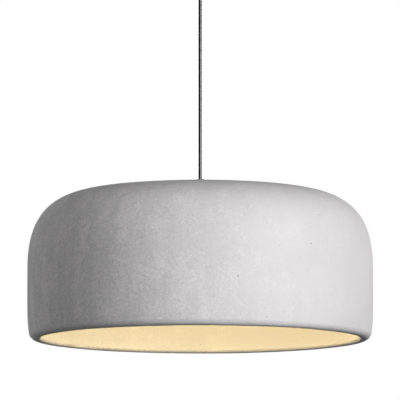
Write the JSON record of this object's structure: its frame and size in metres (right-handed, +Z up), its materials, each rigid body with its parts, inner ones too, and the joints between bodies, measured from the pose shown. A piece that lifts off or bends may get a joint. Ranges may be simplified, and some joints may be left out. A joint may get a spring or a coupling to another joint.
{
  "type": "pendant ceiling light",
  "caption": "Wide cast-concrete pendant light: shade on a black flex with ceiling canopy, brass glands, lampholder and screw-in opal bulb.",
  "frame": {"origin": "middle of the ceiling plate's upper face, which lies on the ceiling", "axes": "+Z up, out of the ceiling plate; +X along the two ceiling screw slots"},
  "size_m": [0.5, 0.4998, 0.5513],
  "materials": {
    "concrete": "cast concrete, fair-faced, fine pores",
    "zinc_steel": "bright zinc plate",
    "black_steel": "matt black powder coat",
    "black_screw": "blackened steel",
    "steel": "plain steel",
    "dark_steel": "black oxide",
    "brass": "turned brass",
    "aged_brass": "brushed, nickel-toned brass",
    "nickel": "nickel-plated",
    "solder": "tinned",
    "nylon": "natural nylon",
    "rubber": "black rubber",
    "flex_black": "smooth black sheath",
    "wire_brown": "brown insulation",
    "wire_blue": "blue insulation",
    "wire_green_yellow": "green and yellow insulation",
    "black_bakelite": "moulded thermoset, semi-gloss",
    "porcelain": "glazed white",
    "black_glass": "black glass insulator",
    "white_plastic": "matt white",
    "circuit_board": "green board",
    "led_substrate": "white-coated aluminium",
    "led_phosphor": "yellow phosphor",
    "opal_glass": "opal, lit warm white"
  },
  "bodies": {
    "ceiling": {"ceiling_plate": "zinc_steel", "canopy_cup": "black_steel", "canopy_screws": "black_screw", "strand_clamp": "brass", "clamp_screw": "steel", "terminal_block": "nylon", "terminal_tubes": "brass", "terminal_screws": "steel", "block_screw": "steel", "earth_lug": "brass", "earth_screw": "brass", "supply_strand": "steel", "canopy_wire_live": "wire_brown", "canopy_wire_neutral": "wire_blue", "canopy_wire_earth": "wire_green_yellow", "cord_grip": "aged_brass", "grip_nut": "zinc_steel", "grip_screw": "dark_steel", "flex_tail": "flex_black"},
    "flex_knuckle": {"flex_bend": "flex_black"},
    "hanging_flex": {"flex": "flex_black"},
    "shade_unit": {"gland_body": "aged_brass", "gland_sleeve": "nylon", "gland_screw": "dark_steel", "top_washer": "aged_brass", "top_gasket": "rubber", "shade": "concrete", "low_gasket": "rubber", "support_plate": "zinc_steel", "lock_washer": "steel", "hex_nut": "brass", "threaded_nipple": "brass", "strand_stop": "steel", "lamp_strand": "steel", "lamp_wire_live": "wire_brown", "lamp_wire_neutral": "wire_blue", "lamp_wire_earth": "wire_green_yellow", "holder_cap": "black_bakelite", "holder_skirt": "black_bakelite", "holder_insert": "porcelain", "holder_terminals": "brass", "holder_screws": "steel", "holder_shell": "brass", "centre_contact": "brass"},
    "bulb_contact": {"bulb_tip": "solder"},
    "bulb": {"bulb_insulator": "black_glass", "bulb_cap": "nickel", "bulb_collar": "white_plastic", "bulb_driver": "circuit_board", "led_board": "led_substrate", "led_chips": "led_phosphor", "bulb_glass": "opal_glass"}
  },
  "joints": [
    {"name": "flex_swing_x", "type": "hinge", "parent": "ceiling", "child": "flex_knuckle", "pos_m": [0, 0, -0.052], "axis": [1, 0, 0], "range_deg": [-20, 20]},
    {"name": "flex_swing_y", "type": "hinge", "parent": "flex_knuckle", "child": "hanging_flex", "pos_m": [0, 0, -0.052], "axis": [0, 1, 0], "range_deg": [-20, 20]},
    {"name": "shade_twist", "type": "hinge", "parent": "hanging_flex", "child": "shade_unit", "pos_m": [0, 0, -0.3248], "axis": [0, 0, 1], "range_deg": [-180, 180]},
    {"name": "bulb_travel", "type": "slide", "parent": "shade_unit", "child": "bulb_contact", "axis": [0, 0, 1], "range_m": [-0.0146, 0.0001]},
    {"name": "bulb_turn", "type": "hinge", "parent": "bulb_contact", "child": "bulb", "pos_m": [0, 0, -0.41], "axis": [0, 0, 1], "range_deg": [-1440, 0]}
  ],
  "couplings": [
    {"joint": "bulb_travel", "follows": "bulb_turn", "m_per_rad": 0.00057614}
  ]
}
